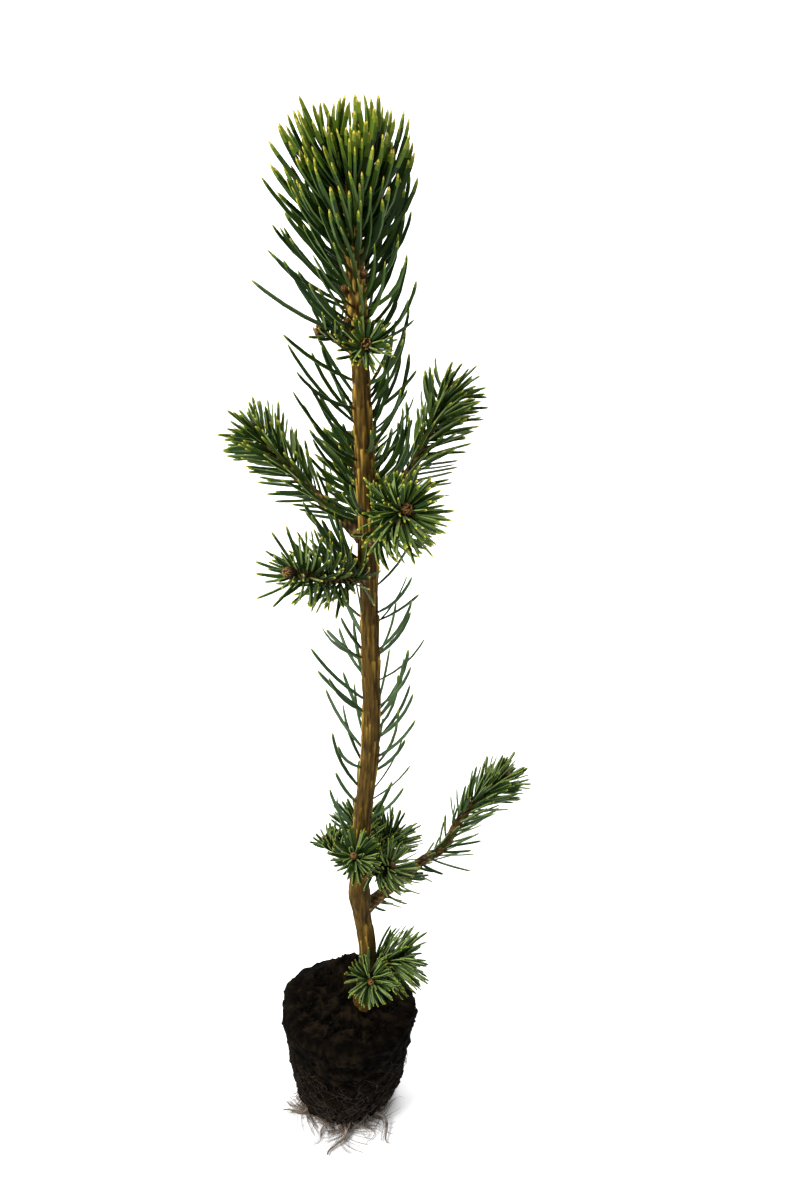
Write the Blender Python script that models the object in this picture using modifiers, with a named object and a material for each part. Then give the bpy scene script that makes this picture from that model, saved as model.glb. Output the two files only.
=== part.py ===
"""A norway spruce seedling on its root ball, as one assembly of named solids.

Metres, +Z up. The origin is the middle of the root ball's flat underside, +X is to the right and +Y to
the back as the plant is usually seen. Heights on the stem are counted from the soil. The stem stays
whole, and each mass of needles is one solid that keeps clear of every limb and of the other masses.
"""

import math
import random
from collections import namedtuple

import bmesh
import bpy
import numpy as np
from mathutils import Matrix, Vector

MM = 0.001
UP = Vector((0, 0, 1))
GOLDEN_ANGLE = math.radians(137.5)
SEED = 3

# Sizes that drive the plant
STEM_HEIGHT = 270 * MM  # from the soil to the tip of the end bud
BALL_HEIGHT = 43 * MM
BALL_TOP_RADIUS = 19.8 * MM
SEAM = 0.3 * MM  # the clearance between pieces that meet

# The root ball: a plug of peat in the shape of its tray's cell, as height and radius up its side
BALL_STEPS = 28
BALL_SIDE = (
    (0, 12.4 * MM),
    (4.5 * MM, 14.2 * MM),
    (10 * MM, 15.6 * MM),
    (19 * MM, 17.3 * MM),
    (27 * MM, 18.5 * MM),
    (35 * MM, 19.4 * MM),
    (BALL_HEIGHT, BALL_TOP_RADIUS),
)
BALL_LUMP = 0.45 * MM
RIM_ROUND = 2.2 * MM
FOOT_ROUND = 1.2 * MM

# Roots that lie out at the foot of the ball: name, bearing in degrees and length
WISPS = (
    ("root_wisp_left", 206, 9 * MM),
    ("root_wisp_front", -97, 12 * MM),
    ("root_wisp_right", -50, 11 * MM),
)
WISP_RADIUS = 0.8 * MM
WISP_START_HEIGHT = 2.4 * MM

# The stem: radius at the soil, above the lower whorl, and under the end bud
STEM_SIDES = 8
STEM_STATION = 10 * MM
SOIL_RADIUS = 2.75 * MM
LOWER_WHORL_HEIGHT = 46 * MM
UPPER_WHORL_HEIGHT = 163 * MM
RADIUS_ABOVE_WHORL = 2.1 * MM
TIP_RADIUS = 1.05 * MM
ROOT_FLARE = 1.5 * MM
FLARE_HEIGHT = 3.5 * MM
KNUCKLE = 0.55 * MM  # how far a whorl swells the stem
KNUCKLE_HEIGHT = 5 * MM
# Where the stem's line passes, as height above the soil and distance to the right of the ball's middle
STEM_LINE = (
    (0, 5.8 * MM),
    (18 * MM, 6.5 * MM),
    (46 * MM, 4.9 * MM),
    (75 * MM, 6.1 * MM),
    (98 * MM, 8.4 * MM),
    (150 * MM, 8.8 * MM),
    (207 * MM, 7.8 * MM),
    (240 * MM, 6.6 * MM),
    (STEM_HEIGHT, 5.2 * MM),
)

# Buds, as share of the bud's length and share of its radius
BUD_OUTLINE = ((0, 0.55), (0.2, 0.95), (0.5, 1), (0.8, 0.6), (1, 0))
END_BUD_LENGTH = 6 * MM
END_BUD_RADIUS = 1.9 * MM

# Each branch: height on the stem, bearing (0 right, 90 back), rise above level in degrees, length from
# the stem's middle to the bud, share of it that is bare bough, radius of the bough at its foot, radius
# of its bud, number and length of its needles, and how far its line lies above the straight one, as
# pairs of share and distance
Branch = namedtuple("Branch", "name height bearing rise length bare radius bud needles needle line")
STRAIGHT = ()
UPTURNED = ((0.5, -1.2 * MM),)
ARCHED = ((0.5, 2.6 * MM),)
ELBOW = ((0.2, -1 * MM), (0.42, -2.6 * MM), (0.56, -5.2 * MM), (0.66, -0.9 * MM))
BRANCHES = (
    Branch("upper_front", 165 * MM, -69, 46, 40 * MM, 0.3, 1.2 * MM, 1.6 * MM, 50, 13.5 * MM, ARCHED),
    Branch("upper_left_front", 157 * MM, -134, 29, 32 * MM, 0.25, 1.2 * MM, 1.5 * MM, 40, 13 * MM, UPTURNED),
    Branch("upper_left_back", 168 * MM, 151, 35, 42 * MM, 0.22, 1.3 * MM, 1.6 * MM, 48, 13 * MM, UPTURNED),
    Branch("upper_back", 171 * MM, 103, 35, 27.5 * MM, 0.28, 1.1 * MM, 1.4 * MM, 28, 12.5 * MM, UPTURNED),
    Branch("upper_right_back", 166 * MM, 54, 40, 48 * MM, 0.27, 1.3 * MM, 1.6 * MM, 50, 13.5 * MM, UPTURNED),
    Branch("lower_right", 39.5 * MM, 28, 34, 59 * MM, 0.6, 1.3 * MM, 1.5 * MM, 40, 12 * MM, ELBOW),
    Branch("lower_left", 54 * MM, 148, 36, 15 * MM, 0.44, 1.0 * MM, 1.2 * MM, 20, 9 * MM, STRAIGHT),
    Branch("lower_front", 57 * MM, -96, 54, 18 * MM, 0.46, 1.0 * MM, 1.2 * MM, 22, 9.5 * MM, STRAIGHT),
    Branch("lower_right_back", 51 * MM, 48, 30, 19.5 * MM, 0.34, 1.0 * MM, 1.2 * MM, 22, 10 * MM, STRAIGHT),
    Branch("lower_right_front", 52 * MM, -30, 44, 16.5 * MM, 0.48, 0.9 * MM, 1.1 * MM, 20, 9 * MM, STRAIGHT),
    Branch("lower_back", 55 * MM, 92, 38, 18 * MM, 0.38, 0.9 * MM, 1.1 * MM, 20, 10 * MM, STRAIGHT),
    Branch("basal_right", 15 * MM, 0, 22, 14 * MM, 0.42, 0.9 * MM, 1.1 * MM, 22, 9.5 * MM, STRAIGHT),
    Branch("basal_front", 13.5 * MM, -82, 33, 13 * MM, 0.46, 0.9 * MM, 1.1 * MM, 22, 9.5 * MM, STRAIGHT),
    Branch("leader_front", 218 * MM, -78, 45, 12 * MM, 0.4, 0.9 * MM, 1.4 * MM, 14, 8.5 * MM, STRAIGHT),
    Branch("leader_left", 219 * MM, 176, 34, 12 * MM, 0.4, 0.9 * MM, 1.2 * MM, 12, 8.5 * MM, STRAIGHT),
)
BOUGH_SIDES = 6
BOUGH_TIP_SHARE = 0.78  # of its radius at the foot
BOUGH_COLLAR = 1.25  # the swelling where it leaves the stem
TWIG_SIDES = 5
TWIG_END_SHARE = 0.62
BUD_STRETCH = 3  # a side bud's length for its radius
NEEDLE_RADIUS = 0.68 * MM
NEEDLE_SIDES = 3
FIRST_NEEDLE = 0.12  # share of the spray that stays clear of the bough's tip
SPRAY_LEANS = (math.radians(66), math.radians(50))  # from the twig, at its start and at the bud
LEAN_JITTER = math.radians(7)
TURN_JITTER = math.radians(16)
TRIES = 6  # other directions that a needle may take before it is left out
NEEDLE_LIFT = 0.18  # how far needles turn up to the light

# Each stretch of needles round the stem: from and to, number and length of needles, their lean from the
# stem at its foot and at its top, the share by which the topmost are shorter, and how far they all tilt
# to the right
Stretch = namedtuple("Stretch", "name low high needles needle leans shorter tilt")
STRETCHES = (
    Stretch("stem_needles_lower", 64 * MM, 103 * MM, 22, 16 * MM, (48, 44), 0, 0.1),
    Stretch("stem_needles_upper", 106 * MM, 152 * MM, 30, 18 * MM, (50, 48), 0, 0),
    Stretch("leader_needles_lower", 175 * MM, 213 * MM, 44, 20.5 * MM, (52, 48), 0, -0.14),
    Stretch("leader_needles_middle", 224 * MM, 243 * MM, 36, 23 * MM, (52, 48), 0, -0.14),
    Stretch("leader_needles_top", 245 * MM, 263 * MM, 50, 24 * MM, (50, 41), 0.33, -0.14),
)
SLEEVE_WALL = 0.45 * MM
SLEEVE_SEAM = 0.35 * MM
STEM_NEEDLE_BEND = math.radians(20)  # how far a long needle curves up to the stem
STEM_NEEDLE_ELBOW = 0.5

rng = random.Random(SEED)


def clear_scene():
    for obj in list(bpy.data.objects):
        bpy.data.objects.remove(obj, do_unlink=True)


def new_collection(name):
    collection = bpy.data.collections.new(name)
    bpy.context.scene.collection.children.link(collection)
    return collection


def plain_material(name, colour, roughness):
    material = bpy.data.materials.new(name)
    material.use_nodes = True
    shader = material.node_tree.nodes["Principled BSDF"]
    shader.inputs["Base Color"].default_value = (*colour, 1)
    shader.inputs["Roughness"].default_value = roughness
    shader.inputs["Metallic"].default_value = 0
    return material


def smooth(knots, place):
    """The value at a place on the smooth curve through the knots, each one a place and a value."""
    places = [knot[0] for knot in knots]
    values = [knot[1] for knot in knots]
    slopes = np.gradient(values, places)
    index = min(max(np.searchsorted(places, place) - 1, 0), len(knots) - 2)
    width = places[index + 1] - places[index]
    share = min(max((place - places[index]) / width, 0), 1)
    rest = 1 - share
    start = (1 + 2 * share) * values[index] + share * width * slopes[index]
    end = (3 - 2 * share) * values[index + 1] - rest * width * slopes[index + 1]
    return float(rest * rest * start + share * share * end)


def mix(ends, share):
    return ends[0] + (ends[1] - ends[0]) * share


def polar(bearing, distance):
    """A level offset at a bearing in radians."""
    return Vector((math.cos(bearing), math.sin(bearing), 0)) * distance


def stem_point(height):
    return Vector((smooth(STEM_LINE, height), 0, BALL_HEIGHT + height))


def stem_radius(height):
    """The stem tapers evenly between the whorls, swells at each and flares into the soil."""
    widths = ((0, SOIL_RADIUS), (LOWER_WHORL_HEIGHT, SOIL_RADIUS - 0.25 * MM))
    upper = ((60 * MM, RADIUS_ABOVE_WHORL), (STEM_HEIGHT - END_BUD_LENGTH, TIP_RADIUS))
    heights, radii = zip(*(widths + upper))
    radius = float(np.interp(height, heights, radii))
    for whorl in (LOWER_WHORL_HEIGHT, UPPER_WHORL_HEIGHT):
        radius += KNUCKLE * math.exp(-(((height - whorl) / KNUCKLE_HEIGHT) ** 2))
    return radius + ROOT_FLARE * math.exp(-height / FLARE_HEIGHT)


def station_heights(low, high):
    """Both ends and the stem's own stations between them."""
    count = math.ceil(STEM_HEIGHT / STEM_STATION)
    inner = [STEM_STATION * i for i in range(count) if low + SEAM < STEM_STATION * i < high - SEAM]
    return [low, *inner, high]


def facings(points):
    """The way that the path runs at each of its points."""
    steps = [(b - a).normalized() for a, b in zip(points, points[1:])]
    middles = [(a + b).normalized() for a, b in zip(steps, steps[1:])]
    return [steps[0], *middles, steps[-1]]


def limb(points, radii, sides, first_facing=None):
    """A closed limb: a ring square to the path at each point, bridged to the next, with both ends capped."""
    mesh = bmesh.new()
    ways = facings(points)
    ways[0] = first_facing or ways[0]
    turn = ways[0].to_track_quat("Z", "X")
    rings = []
    for index, way in enumerate(ways):
        if index:
            turn = ways[index - 1].rotation_difference(way) @ turn
        place = Matrix.Translation(points[index]) @ turn.to_matrix().to_4x4()
        radius = max(radii[index], 0.02 * MM)
        ring = bmesh.ops.create_circle(mesh, segments=sides, radius=radius, matrix=place)["verts"]
        rings.append(ring)
    loops = [list({edge for vert in ring for edge in vert.link_edges}) for ring in rings]
    for lower, upper in zip(loops, loops[1:]):
        bmesh.ops.bridge_loops(mesh, edges=lower + upper)
    bmesh.ops.holes_fill(mesh, edges=mesh.edges[:])
    if not radii[-1]:
        bmesh.ops.pointmerge(mesh, verts=rings[-1], merge_co=points[-1])
    bmesh.ops.recalc_face_normals(mesh, faces=mesh.faces[:])
    return mesh


def add_object(name, mesh, material, collection):
    data = bpy.data.meshes.new(name)
    mesh.to_mesh(data)
    mesh.free()
    data.materials.append(material)
    obj = bpy.data.objects.new(name, data)
    collection.objects.link(obj)
    return obj


def apply_modifiers(obj):
    bpy.context.view_layer.update()
    graph = bpy.context.evaluated_depsgraph_get()
    result = bpy.data.meshes.new_from_object(obj.evaluated_get(graph))
    obj.modifiers.clear()
    obj.data = result


def keep_main_body(obj):
    """Drops loose scraps, and fills hollows that crossing needles seal, which are bodies of their own."""
    mesh = bmesh.new()
    mesh.from_mesh(obj.data)
    unseen = set(mesh.faces)
    bodies = []
    while unseen:
        last = {unseen.pop()}
        body = set(last)
        while last:
            last = {other for face in last for edge in face.edges for other in edge.link_faces} & unseen
            unseen -= last
            body |= last
        bodies.append(body)
    largest = max(bodies, key=len)
    spare = [face for body in bodies if body is not largest for face in body]
    bmesh.ops.delete(mesh, geom=spare, context="FACES")
    mesh.to_mesh(obj.data)
    mesh.free()


def with_bud(points, radii, bud_radius, bud_length):
    """The path and radii carried on over a bud at its end."""
    way = (points[-1] - points[-2]).normalized()
    start = points[-1]
    bud_points = [start + way * bud_length * share for share, _ in BUD_OUTLINE[1:]]
    bud_radii = [bud_radius * share for _, share in BUD_OUTLINE[1:]]
    return points + bud_points, radii + bud_radii


class Room:
    """The room that limbs and needles take up, as straight stretches with a radius and an owner."""

    def __init__(self):
        self.starts = []
        self.ends = []
        self.radii = []
        self.owners = []

    def take(self, owner, points, radii):
        for index in range(len(points) - 1):
            self.starts.append(points[index][:])
            self.ends.append(points[index + 1][:])
            self.radii.append(max(radii[index], radii[index + 1]))
            self.owners.append(owner)

    def is_free(self, owner, points, radius, own=()):
        """Whether a needle along the points stays clear of all that other owners hold."""
        other = np.array([name != owner and name not in own for name in self.owners])
        starts = np.array(self.starts)[other]
        ends = np.array(self.ends)[other]
        reach = np.array(self.radii)[other] + radius + SEAM
        return all((nearest(a, b, starts, ends) > reach).all() for a, b in zip(points, points[1:]))


def nearest(start, end, starts, ends):
    """The least distance from one straight stretch to each of several."""
    start = np.array(start)
    way = np.array(end) - start
    ways = ends - starts
    offset = start - starts
    own = way @ way
    others = (ways * ways).sum(axis=1)
    across = ways @ way
    ahead = offset @ way
    beside = (ways * offset).sum(axis=1)
    spread = own * others - across * across
    share = np.where(spread > 1e-18, (across * beside - ahead * others) / np.maximum(spread, 1e-18), 0)
    there = np.clip((across * np.clip(share, 0, 1) + beside) / others, 0, 1)
    here = np.clip((across * there - ahead) / own, 0, 1)
    return np.linalg.norm(offset + here[:, None] * way - there[:, None] * ways, axis=1)


def ball_profile():
    """The half outline of the root ball, from the middle of its top down its side to its underside."""
    points = [(0, BALL_HEIGHT), (BALL_TOP_RADIUS - RIM_ROUND - 2 * MM, BALL_HEIGHT)]
    for step in range(4):
        angle = math.pi / 2 * (1 - step / 3)
        across = BALL_TOP_RADIUS - RIM_ROUND + RIM_ROUND * math.cos(angle)
        points.append((across, BALL_HEIGHT - RIM_ROUND + RIM_ROUND * math.sin(angle)))
    points += [(radius, height) for height, radius in reversed(BALL_SIDE[1:-1])]
    foot_radius = BALL_SIDE[0][1]
    points += [(foot_radius + FOOT_ROUND / 2, FOOT_ROUND), (foot_radius - FOOT_ROUND, 0), (0, 0)]
    return points


def ball_side(bearing, height):
    """The distance from the ball's axis to its side."""
    return smooth(BALL_SIDE, height) + lump(bearing, height)


def lump(bearing, height):
    """How far the peat stands out at a place on the ball's side."""
    slow = math.sin(3 * bearing + 0.9) + math.sin(2 * bearing - height / (11 * MM))
    quick = 0.6 * math.sin(7 * bearing + height / (5 * MM))
    return BALL_LUMP * (slow + quick)


def make_root_ball(material, collection):
    outline = bmesh.new()
    verts = [outline.verts.new((across, 0, height)) for across, height in ball_profile()]
    for upper, lower in zip(verts, verts[1:]):
        outline.edges.new((upper, lower))
    ball = add_object("root_ball", outline, material, collection)
    screw = ball.modifiers.new("turned", "SCREW")
    screw.steps = BALL_STEPS
    screw.render_steps = BALL_STEPS
    screw.use_merge_vertices = True
    screw.merge_threshold = 0.0001 * MM
    apply_modifiers(ball)
    for vert in ball.data.vertices:
        across = math.hypot(vert.co.x, vert.co.y)
        on_side = FOOT_ROUND / 2 < vert.co.z < BALL_HEIGHT - RIM_ROUND / 2
        if on_side:
            grown = 1 + lump(math.atan2(vert.co.y, vert.co.x), vert.co.z) / across
            vert.co.x *= grown
            vert.co.y *= grown
    return ball


def make_wisp(name, bearing, length, material, collection, room):
    """A root that leaves the foot of the ball and lies out on the ground with a bend."""
    start_height = WISP_START_HEIGHT + 2 * WISP_RADIUS
    start_radius = ball_side(math.radians(bearing), start_height) + 2 * SEAM
    points = []
    radii = []
    for step in range(6):
        share = step / 5
        radius = WISP_RADIUS * (1 - 0.65 * share)
        turn = math.radians(bearing) + 0.16 * math.sin(share * 4)
        height = radius + SEAM + WISP_START_HEIGHT * (1 - share) ** 2
        points.append(polar(turn, start_radius + length * share) + UP * height)
        radii.append(radius)
    facing = polar(math.radians(bearing), 1)
    room.take(name, points, radii)
    return add_object(name, limb(points, radii, TWIG_SIDES, facing), material, collection)


def make_trunk(material, collection, room):
    points, radii = grown_stem(0)
    room.take("trunk", points, radii)
    return add_object("trunk", limb(points, radii, STEM_SIDES, UP), material, collection)


def branch_point(branch, share):
    """The branch's line from the stem's middle to its bud."""
    rise = math.radians(branch.rise)
    out = polar(math.radians(branch.bearing), math.cos(rise))
    knots = ((0, 0), *branch.line, (1, 0))
    lift = smooth(knots, share) if branch.line else 0
    straight = stem_point(branch.height) + (out + UP * math.sin(rise)) * branch.length * share
    return straight + UP * lift


def bough_shares(branch):
    """Where the bough starts, at the stem's surface, and where it ends, at the needles."""
    level = branch.length * math.cos(math.radians(branch.rise))
    return (stem_radius(branch.height) + SEAM) / level, branch.bare


def bough_radius(branch, share):
    start, end = bough_shares(branch)
    along = (share - start) / (end - start)
    collar = (BOUGH_COLLAR - 1) * math.exp(-along * 5)
    return branch.radius * (mix((1, BOUGH_TIP_SHARE), along) + collar)


def make_bough(branch, material, collection, room):
    start, end = bough_shares(branch)
    steps = max(2, round(branch.length * (end - start) / (4 * MM)))
    shares = [mix((start, end), step / steps) for step in range(steps + 1)]
    points = [branch_point(branch, share) for share in shares]
    radii = [bough_radius(branch, share) for share in shares]
    facing = polar(math.radians(branch.bearing), 1)
    name = branch.name + "_bough"
    room.take(name, points, radii)
    return add_object(name, limb(points, radii, BOUGH_SIDES, facing), material, collection)


def twig_path(branch):
    """The points and radii of the twig inside a spray, up to its bud."""
    start = branch.bare + SEAM / branch.length
    bud_length = BUD_STRETCH * branch.bud
    end = 1 - bud_length / branch.length
    steps = max(3, round(branch.length * (end - start) / (6 * MM)))
    shares = [mix((start, end), step / steps) for step in range(steps + 1)]
    points = [branch_point(branch, share) for share in shares]
    first = branch.radius * BOUGH_TIP_SHARE
    last = branch.radius * TWIG_END_SHARE
    radii = [mix((first, last), step / steps) for step in range(steps + 1)]
    return points, radii


def along_path(points, radii, share):
    """The place, way and radius at a share of the path's length."""
    lengths = [0]
    for a, b in zip(points, points[1:]):
        lengths.append(lengths[-1] + (b - a).length)
    goal = share * lengths[-1]
    index = min(max(int(np.searchsorted(lengths, goal)) - 1, 0), len(points) - 2)
    part = (goal - lengths[index]) / (lengths[index + 1] - lengths[index])
    place = points[index].lerp(points[index + 1], part)
    way = (points[index + 1] - points[index]).normalized()
    return place, way, mix((radii[index], radii[index + 1]), part)


def side_way(way, turn):
    """The way square to a limb, at a turn round it."""
    base = way.to_track_quat("Z", "X") @ Vector((1, 0, 0))
    return Matrix.Rotation(turn, 3, way) @ base


def above_soil(points):
    """Whether a needle stays clear of the root ball's top and of the ground."""
    lowest = min(point.z for point in points[1:])
    over_ball = any(math.hypot(point.x, point.y) < BALL_TOP_RADIUS + 2 * MM for point in points)
    return lowest > (BALL_HEIGHT if over_ball else 0) + NEEDLE_RADIUS + SEAM


def place_needle(owner, aim, turn, lean, room, own=()):
    """A needle near its turn and lean that touches nothing, or None where every try does."""
    for attempt in range(TRIES):
        points = aim(
            turn + rng.uniform(-1, 1) * TURN_JITTER * (1 + attempt),
            lean + rng.uniform(-1, 1) * LEAN_JITTER,
        )
        outer_half = points[1:] if own else points
        clear = room.is_free(owner, points, NEEDLE_RADIUS, own) and room.is_free(owner, outer_half, NEEDLE_RADIUS)
        if clear and above_soil(points):
            room.take(owner, points, [NEEDLE_RADIUS] * len(points))
            return points
    return None


def spray_needles(branch, points, radii, room):
    """Straight needles round the twig, close and leaning forward towards the bud."""
    needles = []
    for index in range(branch.needles):
        share = mix((FIRST_NEEDLE, 1), ((index + 0.5) / branch.needles) ** 0.85)
        place, way, radius = along_path(points, radii, share)
        size = branch.needle * (1 - 0.18 * share) * rng.uniform(0.88, 1.08)

        def aim(turn, lean):
            side = side_way(way, turn)
            lie = (way * math.cos(lean) + side * math.sin(lean) + UP * NEEDLE_LIFT).normalized()
            root = place + side * radius * 0.2
            return [root, root + lie * size]

        lean = mix(SPRAY_LEANS, share * share)
        needle = place_needle(branch.name + "_spray", aim, GOLDEN_ANGLE * index, lean, room)
        if needle:
            needles.append(needle)
    return needles


def stretch_needles(stretch, room):
    """Long needles round the stem that leave it at their lean and curve up towards it."""
    needles = []
    for index in range(stretch.needles):
        share = (index + 0.5) / stretch.needles
        height = mix((stretch.low + NEEDLE_RADIUS, stretch.high - 2 * NEEDLE_RADIUS), share)
        place = stem_point(height)
        tilt = Vector((stretch.tilt, 0, 0))
        wall = stem_radius(height) + SLEEVE_SEAM + 0.2 * SLEEVE_WALL
        size = stretch.needle * (1 - stretch.shorter * share * share) * rng.uniform(0.85, 1.1)

        def aim(turn, lean):
            side = polar(turn, 1)
            root = place + side * wall
            first = (side * math.sin(lean) + UP * math.cos(lean) + tilt).normalized()
            curved = lean - min(STEM_NEEDLE_BEND, lean / 2)
            second = (side * math.sin(curved) + UP * math.cos(curved) + tilt).normalized()
            elbow = root + first * size * STEM_NEEDLE_ELBOW
            return [root, elbow, elbow + second * size * (1 - STEM_NEEDLE_ELBOW)]

        lean = math.radians(mix(stretch.leans, share))
        needle = place_needle(stretch.name, aim, GOLDEN_ANGLE * index, lean, room, ("trunk",))
        if needle:
            needles.append(needle)
    return needles


def needle_radii(points):
    return [NEEDLE_RADIUS] * (len(points) - 1) + [0]


def fuse_needles(core, needles, material):
    """Joins the needles to the core in one union."""
    loose = new_collection(core.name + "_needles")
    for points in needles:
        add_object("needle", limb(points, needle_radii(points), NEEDLE_SIDES), material, loose)
    union = core.modifiers.new("needles", "BOOLEAN")
    union.operation = "UNION"
    union.operand_type = "COLLECTION"
    union.collection = loose
    union.solver = "MANIFOLD"
    apply_modifiers(core)
    for obj in list(loose.objects):
        bpy.data.objects.remove(obj, do_unlink=True)
    bpy.data.collections.remove(loose)
    keep_main_body(core)


def make_spray(branch, material, collection, room):
    points, radii = twig_path(branch)
    name = branch.name + "_spray"
    needles = spray_needles(branch, points, radii, room)
    points, radii = with_bud(points, radii, branch.bud, BUD_STRETCH * branch.bud)
    core = add_object(name, limb(points, radii, TWIG_SIDES), material, collection)
    fuse_needles(core, needles, material)
    return len(needles)


def grown_stem(room_round_stem):
    """The whole stem with its end bud, grown by the given room."""
    heights = station_heights(SEAM, STEM_HEIGHT - END_BUD_LENGTH)
    heights.insert(1, FLARE_HEIGHT)
    points = [stem_point(height) for height in heights]
    radii = [stem_radius(height) for height in heights]
    points, radii = with_bud(points, radii, END_BUD_RADIUS, END_BUD_LENGTH)
    return points, [radius + room_round_stem for radius in radii]


def sleeve_path(stretch):
    heights = station_heights(stretch.low, stretch.high)
    points = [stem_point(height) for height in heights]
    return points, [stem_radius(height) + SLEEVE_SEAM + SLEEVE_WALL for height in heights]


def make_bore(material, collection):
    """The cutter that keeps every sleeve clear of the stem."""
    points, radii = grown_stem(SLEEVE_SEAM)
    bore = add_object("stem_bore", limb(points, radii, STEM_SIDES, UP), material, collection)
    bore.display_type = "WIRE"
    bore.hide_render = True
    return bore


def make_stretch(stretch, bore, material, collection, room):
    """A thin sleeve of bark round the stem with needles on it, bored out so that it clears the stem."""
    sleeve = add_object(stretch.name, limb(*sleeve_path(stretch), STEM_SIDES, UP), material, collection)
    needles = stretch_needles(stretch, room)
    fuse_needles(sleeve, needles, material)
    cut = sleeve.modifiers.new("bore", "BOOLEAN")
    cut.operation = "DIFFERENCE"
    cut.object = bore
    cut.solver = "MANIFOLD"
    apply_modifiers(sleeve)
    keep_main_body(sleeve)
    return len(needles)


def main():
    clear_scene()
    parts = new_collection("Norway spruce seedling")
    cutters = new_collection("Cutters")
    bark = plain_material("bark", (0.24, 0.13, 0.05), 0.8)
    needle = plain_material("needles", (0.035, 0.1, 0.03), 0.5)
    peat = plain_material("peat", (0.018, 0.013, 0.01), 0.95)
    root = plain_material("root", (0.3, 0.25, 0.2), 0.85)
    room = Room()
    make_root_ball(peat, parts)
    for name, bearing, length in WISPS:
        make_wisp(name, bearing, length, root, parts, room)
    make_trunk(bark, parts, room)
    for branch in BRANCHES:
        make_bough(branch, bark, parts, room)
        room.take(branch.name + "_spray", *twig_path(branch))
    for stretch in STRETCHES:
        room.take(stretch.name, *sleeve_path(stretch))
    for branch in BRANCHES:
        made = make_spray(branch, needle, parts, room)
        print(f"{branch.name}: {made} of {branch.needles} needles")
    bore = make_bore(bark, cutters)
    for stretch in STRETCHES:
        made = make_stretch(stretch, bore, needle, parts, room)
        print(f"{stretch.name}: {made} of {stretch.needles} needles")


main()
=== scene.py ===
# %% [markdown]
# A norway spruce seedling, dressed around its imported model. The real plant is a slender stem out of a
# small peat plug, with two whorls of short side branches and long needles round the leader. The packed
# model gives every limb its place. This script gives the stem its bark, each branch its twig and bud,
# and grows the needles by the same rule as the model, finer and closer.

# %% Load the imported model
import math
import random
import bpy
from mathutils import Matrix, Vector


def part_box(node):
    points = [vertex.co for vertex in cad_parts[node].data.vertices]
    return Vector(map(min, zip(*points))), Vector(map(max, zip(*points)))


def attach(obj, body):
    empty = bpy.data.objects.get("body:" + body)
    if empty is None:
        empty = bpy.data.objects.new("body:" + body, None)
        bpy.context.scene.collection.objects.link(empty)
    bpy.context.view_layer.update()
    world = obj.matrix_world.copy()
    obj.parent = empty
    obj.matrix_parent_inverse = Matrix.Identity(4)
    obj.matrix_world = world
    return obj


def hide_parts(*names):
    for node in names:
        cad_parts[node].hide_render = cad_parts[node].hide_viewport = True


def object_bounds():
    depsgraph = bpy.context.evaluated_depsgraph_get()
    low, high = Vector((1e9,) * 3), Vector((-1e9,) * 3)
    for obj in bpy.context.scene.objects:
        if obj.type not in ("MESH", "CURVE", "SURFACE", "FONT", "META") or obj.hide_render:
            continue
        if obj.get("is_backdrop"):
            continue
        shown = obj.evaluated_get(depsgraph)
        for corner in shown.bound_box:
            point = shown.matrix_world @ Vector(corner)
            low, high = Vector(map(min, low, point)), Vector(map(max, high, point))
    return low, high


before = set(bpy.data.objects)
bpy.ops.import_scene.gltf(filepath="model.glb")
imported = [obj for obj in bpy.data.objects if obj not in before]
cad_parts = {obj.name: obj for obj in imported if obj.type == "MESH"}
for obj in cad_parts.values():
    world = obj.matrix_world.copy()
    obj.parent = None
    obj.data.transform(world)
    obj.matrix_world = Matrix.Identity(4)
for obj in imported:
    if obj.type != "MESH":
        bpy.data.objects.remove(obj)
cad_box = [list(map(float, corner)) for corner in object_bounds()]

import bmesh
import bpy
import numpy as np
from mathutils import Matrix, Vector, noise

MM = 0.001
GOLDEN_ANGLE = math.radians(137.5)
UP = np.array([0.0, 0.0, 1.0])
BALL_LOW, BALL_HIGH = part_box("root_ball")
SOIL = BALL_HIGH[2]
rng = random.Random(5)
print(f"soil at {SOIL / MM:.1f} mm, plant {cad_box[1][2] / MM:.1f} mm tall")

# %% [markdown]
# The camera comes first. The plant was seen from a little above and in front, so the camera looks down
# at thirty-five degrees. Its place follows from two heights on the stem and where they fall in the view.

# %% Camera
camera_data = bpy.data.cameras.new("camera")
camera_data.lens = 50
camera_data.sensor_width = 36
camera = bpy.data.objects.new("camera", camera_data)
camera.location = (0.01669, -0.3474, 0.4365)
VIEW_PITCH = math.radians(55)
camera.rotation_euler = (VIEW_PITCH, 0, 0)
bpy.context.scene.collection.objects.link(camera)
bpy.context.scene.camera = camera
bpy.context.scene.view_settings.view_transform = "Standard"
print("camera at", tuple(round(value, 3) for value in camera.location))

# %% [markdown]
# A plain white studio: a large pale floor, white light from all round, and one broad soft lamp from the
# upper left that gives each needle a lit side and a dark one. A lamp over the far floor keeps it white.

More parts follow.
